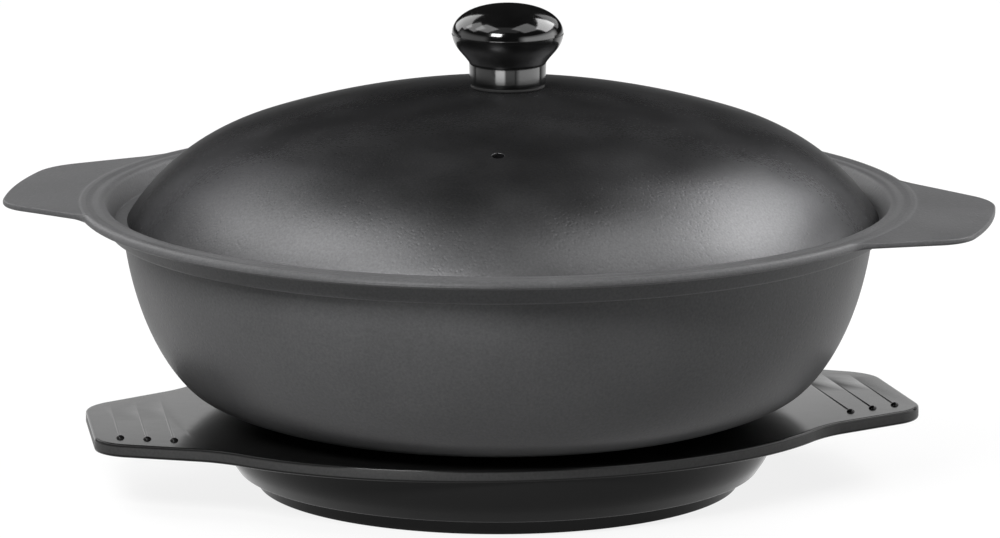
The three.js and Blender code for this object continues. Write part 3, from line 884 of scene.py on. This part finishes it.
class POT_OT_body(bpy.types.Operator):
    """Builds the pot: bowl, lid seat, rim and handles in one casting"""

    bl_idname = "pot.body"
    bl_label = "Pot"

    def execute(self, context):
        pot = context.scene.pot_sizes
        outside, inside = wall_section(pot)[:-1], inside_section(pot)
        columns = []
        for turn in column_turns():
            from_handle = min(turn % math.pi, math.pi - turn % math.pi)
            section = outside + rim_section(pot, handle_reach(pot, from_handle)) + inside
            columns.append([polar(p.x, turn, p.y) for p in section])
        material = cast_iron(
            "Seasoned cast iron, pot", context.scene.pot_finishes.pot, metallic=0.1, roughness=0.42,
            grit=0.9, depth=0.05, edge_tint=0.25)
        place(skin("pot", columns), "pot", "pot_body", "pot", material)
        return {"FINISHED"}


# Lid

def lid_section(lid):
    """The dome in section: lower edge, shoulder, crown and knob seat, then the same inside."""
    crown_z = lid.edge + lid.rise
    tangent = math.asin(lid.tangent / lid.crown)
    gap = lid.crown - lid.shoulder
    middle = Vector((gap * math.sin(tangent), crown_z - lid.crown + gap * math.cos(tangent)))
    crown_middle = Vector((0, crown_z - lid.crown))
    up = math.pi / 2
    seat_z = crown_middle.y + math.sqrt(lid.crown ** 2 - lid.seat ** 2)
    inner = lid.shoulder - lid.wall
    outer_edge = math.asin((lid.edge - middle.y) / lid.shoulder)
    inner_edge = math.asin((lid.edge - middle.y) / inner)
    soften = 0.7 * MM
    outside = arc(
        middle, lid.shoulder, outer_edge + soften / lid.shoulder, up - tangent, 2 * CURVE_STEPS)
    outside += arc(
        crown_middle, lid.crown, up - tangent, up - math.asin(lid.seat / lid.crown), 2 * CURVE_STEPS)[1:]
    under_turn = math.acos((seat_z - lid.wall - crown_middle.y) / (lid.crown - lid.wall))
    inside = arc(crown_middle, lid.crown - lid.wall, up - under_turn, up - tangent, CURVE_STEPS)
    inside += arc(middle, inner, up - tangent, inner_edge + soften / inner, CURVE_STEPS)[1:]
    edge = Vector((middle.x + lid.shoulder * math.cos(outer_edge), lid.edge))
    inner_edge_point = Vector((middle.x + inner * math.cos(inner_edge), lid.edge))
    lip = bezier(
        inside[-1], inner_edge_point, inner_edge_point, inner_edge_point + Vector((soften, 0)),
        BEND_STEPS)[1:]
    lip += bezier(edge - Vector((soften, 0)), edge, edge, outside[0], BEND_STEPS)[:-1]
    flat = [Vector((lid.seat * k / 4, seat_z)) for k in (3, 2, 1, 0)]
    under_flat = [Vector((inside[0].x * k / 4, seat_z - lid.wall)) for k in (0, 1, 2, 3)]
    return under_flat + inside + lip + outside + flat


def hole_cutter(name, radius, wall, flare):
    """A cutter for a round hole through a wall, which widens at both ends to soften the edges."""
    edge = Vector((radius, wall / 2))
    upper = bezier(edge - Vector((0, flare)), edge, edge, edge + Vector((flare, 0)), BEND_STEPS)
    upper += [edge + Vector((2 * flare, flare / 2)), Vector((radius + 3 * flare, wall))]
    upper += [Vector((0, wall))]
    return revolve(name, [Vector((p.x, -p.y)) for p in upper[::-1]] + upper, SMALL_STEPS)


class POT_OT_lid(bpy.types.Operator):
    """Builds the domed lid with its steam vent"""

    bl_idname = "pot.lid"
    bl_label = "Lid"

    def execute(self, context):
        scene = context.scene
        lid, knob = scene.pot_lid, scene.pot_knob
        dome = revolve("dome", lid_section(lid), ROUND_STEPS)
        crown_z = lid.edge + lid.rise
        tilt = math.asin(lid.vent_place / lid.crown)
        middle = lid.crown - lid.wall / 2
        vent_flare, hole_flare = 0.45 * MM, 0.2 * MM
        vent = hole_cutter("vent", lid.vent, lid.wall, vent_flare)
        in_wall = Vector((middle * math.sin(tilt), 0, crown_z - lid.crown + middle * math.cos(tilt)))
        vent.transform(
            Matrix.Rotation(lid.vent_turn, 4, "Z") @ Matrix.Translation(in_wall)
            @ Matrix.Rotation(tilt, 4, "Y"))
        screw_hole = hole_cutter("screw_hole", lid.hole, lid.wall, hole_flare)
        screw_hole.transform(Matrix.Translation((knob.shift, 0, gasket_base(lid) - lid.wall / 2)))
        mesh = cut(dome, [vent, screw_hole])
        mesh.transform(lid_place(lid))
        material = cast_iron(
            "Seasoned cast iron, lid", scene.pot_finishes.lid, metallic=0.95, roughness=0.36,
            grit=0.8, depth=0.03, edge_tint=0.15)
        place(mesh, "lid", "lid_shell", "lid", material)
        return {"FINISHED"}


def gasket_base(lid):
    """Height of the flat on the lid that the gasket and the knob stand on."""
    return lid.edge + lid.rise - lid.crown + math.sqrt(lid.crown ** 2 - lid.seat ** 2)


def lid_place(lid):
    """Where the loose lid lies on the pot."""
    return Matrix.Translation(to_the_right(lid.shift)) @ Matrix.Rotation(CAMERA_AZIMUTH, 4, "Z")


def knob_place(lid, knob, z):
    """Where a piece of the knob stands on the lid, at a height."""
    return lid_place(lid) @ Matrix.Translation((knob.shift, 0, z))


# Knob and what fastens it

class POT_OT_knob(bpy.types.Operator):
    """Builds the glossy black knob"""

    bl_idname = "pot.knob"
    bl_label = "Knob"

    def execute(self, context):
        scene = context.scene
        lid, knob = scene.pot_lid, scene.pot_knob
        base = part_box("knob")[0].z
        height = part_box("knob")[1].z - base
        soft, seam_depth, seam_width = 0.3 * MM, 0.22 * MM, 0.1 * MM
        bore = rounded([
            (0, knob.bore_depth, 0), (knob.bore, knob.bore_depth, soft), (knob.bore, 0, soft),
            (knob.base, 0, 0.4 * MM), (knob.base, 1.5 * MM, 0)])
        straight = Vector((knob.base + 0.1 * MM, knob.neck_height - 2.2 * MM))
        waist = Vector((knob.neck, knob.neck_height))
        brim = Vector((knob.radius, knob.seam - 0.15 * MM))
        crown = Vector((knob.radius - 0.05 * MM, knob.seam + seam_depth))
        neck = bezier(
            straight, straight + direction(math.radians(88), 1.4 * MM),
            waist - direction(math.radians(60), 0.5 * MM), waist, CURVE_STEPS)
        flare = bezier(
            waist, waist + direction(math.radians(54), 4.1 * MM),
            brim - direction(math.radians(81.4), 4.8 * MM), brim, CURVE_STEPS)[1:]
        groove_radius = knob.radius - seam_depth
        groove = [
            Vector((groove_radius, knob.seam)), Vector((groove_radius, knob.seam + seam_width)), crown]
        dome = bezier(
            crown, crown + direction(math.radians(93.5), 6.2 * MM), (9.9 * MM, height), (0, height),
            2 * CURVE_STEPS)[1:]
        mesh = revolve("knob", bore + neck + flare + groove + dome, KNOB_STEPS)
        mesh.transform(knob_place(lid, knob, base))
        material = polished_phenolic("Polished black phenolic", scene.pot_finishes.phenolic)
        place(mesh, "lid_knob", "knob", "lid", material)
        return {"FINISHED"}


def ring_section(inner, outer, low, high, soft, steps=3):
    """The section of a flat ring with softened edges, closed on itself."""
    middle = (inner + outer) / 2
    return rounded([
        (middle, low, 0), (outer, low, soft), (outer, high, soft), (inner, high, soft),
        (inner, low, soft), (middle, low, 0)], steps)


def flat_ring(name, inner, outer, soft, steps, low, high):
    """A gasket or plain washer."""
    return revolve(name, ring_section(inner, outer, low, high, soft), steps)


class POT_OT_fastening(bpy.types.Operator):
    """Builds the gasket, washers, threaded insert and screw that hold the knob"""

    bl_idname = "pot.fastening"
    bl_label = "Knob fastening"

    def execute(self, context):
        scene = context.scene
        lid, knob, finishes = scene.pot_lid, scene.pot_knob, scene.pot_finishes
        rubber = silicone_rubber("Die-cut silicone", finishes.rubber)
        steel = turned_metal("Turned stainless steel", finishes.steel, roughness=0.3, ring=0.35)
        brass = turned_metal("Turned brass", finishes.brass, roughness=0.3, ring=0.4)
        tempered = turned_metal(
            "Tempered spring steel", [c * 0.55 for c in finishes.steel], roughness=0.38, ring=0.3)
        gasket_soft, washer_soft, washer_radius = 0.35 * MM, 0.12 * MM, 8 * MM
        lock_inner, lock_outer = 2.75 * MM, 4.4 * MM

        # Each piece: its name, its CAD node, its material and slot, and its maker with sizes
        pieces = (
            ("gasket", "knob_gasket", rubber, "gasket_rubber", flat_ring,
             ("gasket", lid.hole, knob.gasket, gasket_soft, KNOB_STEPS)),
            ("washer", "lid_washer", steel, "washer_steel", flat_ring,
             ("washer", lid.hole, washer_radius, washer_soft, SMALL_STEPS)),
            ("lock_washer", "spring_washer", tempered, "spring_steel", split_washer,
             (lock_inner, lock_outer)),
            ("threaded_insert", "knob_insert", brass, "insert_brass", insert_mesh, (knob,)),
            ("screw", "knob_screw", steel, "screw_steel", screw_mesh, ()))
        for piece, node, material, slot, make, sizes in pieces:
            low, high = (corner.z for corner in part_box(node))
            mesh = make(*sizes, low, high)
            mesh.transform(knob_place(lid, knob, 0))
            place(mesh, piece, node, "lid", material)
        return {"FINISHED"}


def split_washer(inner, outer, low, high):
    """A lock washer: a square-section ring with one slanting gap."""
    middle = (inner + outer) / 2
    gap = 0.6 * MM / middle
    slant = 0.35 * MM / middle
    loop = ring_section(inner, outer, low, high, 0.12 * MM, 2)[:-1]

    def turned(p, share):
        """A point of the section, turned by its share of the way round."""
        lean = slant * (2 * (p.y - low) / (high - low) - 1)
        return polar(p.x, gap + lean + share * (2 * math.pi - 2 * gap), p.y)

    return tube(
        "lock_washer", [[turned(p, i / SMALL_STEPS) for p in loop] for i in range(SMALL_STEPS + 1)])


def insert_mesh(knob, low, high):
    """A brass insert: two knurled bands with a waist between them, round a threaded bore."""
    pitch, bore, thread, soft = 0.8 * MM, 2.65 * MM, 0.3 * MM, 0.2 * MM
    length = high - low
    outer = knob.bore - 0.15 * MM
    waist = ((0.3, 0), (0.4, 0.5 * MM), (0.6, 0.5 * MM), (0.7, 0))
    section = [(bore + thread, low), (outer - soft, low), (outer, low + soft)]
    section += [(outer - deep, low + share * length) for share, deep in waist]
    section += [(outer, high - soft), (outer - soft, high), (bore + thread, high)]
    turns = int(length / pitch)
    for i in range(turns):
        z = high - (i + 0.5) * length / turns
        section += [(bore, z), (bore + thread, z - 0.5 * length / turns)]
    return revolve("threaded_insert", section, SMALL_STEPS)


def screw_mesh(low, high):
    """A pan-head screw, head down, with a cross recess and the thread's ridges on its shank."""
    head, head_height, shank, ridge, pitch = 5 * MM, 2.9 * MM, 2.2 * MM, 2.5 * MM, 0.8 * MM
    soft, plain_shank, point = 0.15 * MM, 6 * MM, 1.2 * MM
    section = [(0, low), (2.4 * MM, low + 0.05 * MM)]
    section += bezier(
        (3.2 * MM, low + 0.1 * MM), (4.6 * MM, low + 0.3 * MM), (head, low + 1.2 * MM),
        (head, low + 1.9 * MM), BEND_STEPS)
    start = low + head_height + plain_shank
    section += [
        (head, low + head_height - soft), (head - soft, low + head_height), (shank, low + head_height),
        (shank, start)]
    for i in range(int((high - point - start) / pitch)):
        section += [(ridge, start + (i + 0.5) * pitch), (shank, start + (i + 1) * pitch)]
    section += [(shank * 0.7, high), (0, high)]

    wide, thin, deep, overrun = 2.7 * MM, 0.55 * MM, 1.7 * MM, 1 * MM
    corners = ((-wide, -thin), (wide, -thin), (wide, thin), (-wide, thin))
    mouth = [(x, y, low - overrun) for x, y in corners]
    bottom = [(x * 0.45, y * 0.7, low + deep) for x, y in corners]
    arms = [tube(name, [mouth, bottom]) for name in ("recess_0", "recess_1")]
    arms[1].transform(Matrix.Rotation(math.pi / 2, 4, "Z"))
    return cut(revolve("screw", section, SMALL_STEPS), arms)


# Stage

def softbox(name, direction, distance, width, height, brightness):
    """A rectangular lamp that faces the pot. Its direction is given as the photographer sees it:
    right, away and up."""
    data = bpy.data.lights.new(name, "AREA")
    data.shape = "RECTANGLE"
    data.size, data.size_y = width, height
    data.energy = brightness * math.pi * width * height
    lamp = linked(name, data)
    way = Matrix.Rotation(CAMERA_AZIMUTH, 3, "Z") @ Vector(direction).normalized()
    lamp.location = way * distance + Vector((0, 0, CAMERA_HEIGHT))
    lamp.rotation_euler = way.to_track_quat("Z", "Y").to_euler()
    lamp.visible_camera = False


def light_of(tree, *kinds):
    """1 for light of any of these kinds, and 0 for other light."""
    path = tree.nodes.new("ShaderNodeLightPath").outputs
    total = 0.0
    for kind in kinds:
        total = add(tree, "ShaderNodeMath", {0: total, 1: path[kind]}, operation="ADD", use_clamp=True)
    return total


def floor_material(colour, lift):
    """Matt paper under the pot. It takes the pot's soft shadow, and glows for the camera, in gloss
    and through glass, so that it reads white."""
    material, tree, shader, _ = new_material("Matt studio paper")
    seen = light_of(tree, "Is Camera Ray", "Is Glossy Ray", "Is Transmission Ray")
    glow = add(tree, "ShaderNodeMath", {0: seen, 1: lift}, operation="MULTIPLY")
    fill(tree, shader, {
        "Base Color": rgba(colour), "Roughness": 0.9, "Specular IOR Level": 0.0,
        "Emission Color": (1, 1, 1, 1), "Emission Strength": glow})
    return material


def card_material(name, strength, low, high):
    """White card lit from within, which fades out between two heights and towards both ends."""
    material = bpy.data.materials.new(name)
    tree = new_tree(material)
    where = tree.nodes.new("ShaderNodeTexCoord").outputs
    height = add(tree, "ShaderNodeSeparateXYZ", {"Vector": where["Object"]}, "Z")
    along = add(tree, "ShaderNodeSeparateXYZ", {"Vector": where["UV"]}, "X")
    off_middle = add(tree, "ShaderNodeMath", {0: along, 1: 0.5}, operation="SUBTRACT")
    from_middle = add(tree, "ShaderNodeMath", {0: off_middle}, operation="ABSOLUTE")
    level = add(tree, "ShaderNodeMath", {
        0: spread(tree, from_middle, strength, 0.0, start=0.35, end=0.5),
        1: spread(tree, height, 1.0, 0.0, start=low, end=high)}, operation="MULTIPLY")
    glow = add(tree, "ShaderNodeEmission", {"Strength": level})
    add(tree, "ShaderNodeOutputMaterial", {"Surface": glow})
    return material


def low_card(name, start, end, radius, top, strength):
    """A low curved card round the pot, which only glosses see. Its ends are given as degrees from
    the photographer's side, to the right."""
    steps, fade_share = 48, 0.7
    verts = []
    for i in range(steps + 1):
        turn = CAMERA_AZIMUTH - math.pi / 2 + math.radians(start + (end - start) * i / steps)
        verts += [polar(radius, turn, z) for z in (0.0, top)]
    faces = [(2 * i, 2 * i + 2, 2 * i + 3, 2 * i + 1) for i in range(steps)]
    mesh = bpy.data.meshes.new(name)
    mesh.from_pydata(verts, [], faces)
    shares = mesh.uv_layers.new(name="UVMap").data
    for loop in mesh.loops:
        shares[loop.index].uv = (loop.vertex_index // 2 / steps, loop.vertex_index % 2)
    mesh.materials.append(card_material(f"White card, {name}", strength, fade_share * top, top))
    card = linked(name, mesh)
    card.visible_camera = False
    card.visible_diffuse = False
    card.visible_shadow = False
    card.visible_transmission = False


def white_world(fill_light, sky):
    """White where the camera looks past the floor, a dim sky in glosses, and a soft fill."""
    world = bpy.data.worlds.new("Studio")
    tree = new_tree(world)
    mirrored = light_of(tree, "Is Glossy Ray", "Is Transmission Ray")
    level = add(
        tree, "ShaderNodeMix", {"Factor": mirrored, "A": fill_light, "B": sky}, data_type="FLOAT")
    level = add(
        tree, "ShaderNodeMix", {"Factor": light_of(tree, "Is Camera Ray"), "A": level, "B": 1.0},
        data_type="FLOAT")
    white = add(tree, "ShaderNodeBackground", {"Color": (1, 1, 1, 1), "Strength": level})
    add(tree, "ShaderNodeOutputWorld", {"Surface": white})
    return world


FLOOR_RADIUS = 6.0

# Each softbox: its brightness in Studio, the way to it, its distance, width and height in metres
SOFTBOXES = (
    ("right", (0.69, 0.34, 0.64), 1.3, 1.0, 0.65),
    ("right_back", (0.50, 0.72, 0.45), 1.3, 0.6, 0.6),
    ("right_front", (0.45, -0.21, 0.87), 1.3, 0.8, 0.7),
    ("left_back", (-0.63, 0.62, 0.47), 1.3, 1.0, 0.85),
    ("left", (-0.67, 0.12, 0.73), 1.3, 0.7, 0.6),
    ("left_front", (-0.51, -0.19, 0.84), 1.3, 0.7, 0.6),
    ("front", (-0.05, -0.45, 0.89), 1.3, 1.0, 0.6),
    ("key", (-0.35, -0.74, 0.57), 1.2, 0.40, 0.30),
)

# Each low card: its brightness in Studio, its ends in degrees from the front, to the right, and
# its distance and height in metres
LOW_CARDS = (
    ("card_back", 110, 250, 0.36, 0.15),
    ("card_right", 22, 124, 0.45, 0.34),
    ("card_left", -124, -36, 0.45, 0.34),
    ("card_window", -50, -4, 0.45, 0.12),
)


class POT_OT_stage(bpy.types.Operator):
    """Builds the floor, the white cards, the lamps and the photograph's camera"""

    bl_idname = "pot.stage"
    bl_label = "Stage"

    def execute(self, context):
        scene = context.scene
        studio = scene.pot_studio
        scene.view_settings.view_transform = "Standard"
        scene.world = white_world(studio.fill, studio.sky)

        disc = bmesh.new()
        bmesh.ops.create_circle(disc, cap_ends=True, segments=96, radius=FLOOR_RADIUS)
        floor = linked("floor", bpy.data.meshes.new("floor"))
        disc.to_mesh(floor.data)
        disc.free()
        floor.data.materials.append(floor_material(scene.pot_finishes.paper, studio.lift))

        for name, start, end, radius, top in LOW_CARDS:
            low_card(name, start, end, radius, top, getattr(studio, name))
        for name, way, distance, width, height in SOFTBOXES:
            softbox(name, way, distance, width, height, getattr(studio, name))

        data = bpy.data.cameras.new("Photograph")
        data.sensor_width = SENSOR_WIDTH
        data.lens = PHOTO_FOCAL_PIXELS / PHOTO_WIDTH * SENSOR_WIDTH
        camera = linked("Photograph", data)
        back = Vector((
            math.sin(CAMERA_AZIMUTH) * math.cos(CAMERA_ELEVATION),
            -math.cos(CAMERA_AZIMUTH) * math.cos(CAMERA_ELEVATION),
            math.sin(CAMERA_ELEVATION)))
        target = to_the_right(CAMERA_SIDE) + Vector((0, 0, CAMERA_HEIGHT))
        camera.location = target + back * CAMERA_DISTANCE
        camera.rotation_euler = back.to_track_quat("Z", "Y").to_euler()
        scene.camera = camera
        return {"FINISHED"}


class POT_PT_parts(bpy.types.Panel):
    """Lists the pieces that can be built"""

    bl_idname = "POT_PT_parts"
    bl_label = "Cast iron pot"
    bl_space_type = "VIEW_3D"
    bl_region_type = "UI"
    bl_category = "Pot"

    def draw(self, context):
        for operator in OPERATORS:
            self.layout.operator(operator.bl_idname)
        for name in GROUPS:
            box = self.layout.box()
            group = getattr(context.scene, name)
            for key in group.__annotations__:
                box.prop(group, key)


GROUPS = {
    "pot_tray": TraySizes,
    "pot_grooves": GrooveSizes,
    "pot_sizes": PotSizes,
    "pot_lid": LidSizes,
    "pot_knob": KnobSizes,
    "pot_finishes": Finishes,
    "pot_studio": Studio,
}
OPERATORS = (POT_OT_stage, POT_OT_tray, POT_OT_body, POT_OT_lid, POT_OT_knob, POT_OT_fastening)


def register():
    """Registers every class and hangs the sizes on the scene."""
    for cls in (*GROUPS.values(), *OPERATORS, POT_PT_parts):
        bpy.utils.register_class(cls)
    for name, group in GROUPS.items():
        setattr(bpy.types.Scene, name, bpy.props.PointerProperty(type=group))


def unregister():
    """Undoes register."""
    for name in GROUPS:
        delattr(bpy.types.Scene, name)
    for cls in (POT_PT_parts, *reversed(OPERATORS), *reversed(list(GROUPS.values()))):
        bpy.utils.unregister_class(cls)


def main():
    """Registers the classes and builds everything."""
    register()
    bpy.ops.pot.stage()
    bpy.ops.pot.tray()
    bpy.ops.pot.body()
    bpy.ops.pot.lid()
    bpy.ops.pot.knob()
    bpy.ops.pot.fastening()


if __name__ == "__main__":
    main()
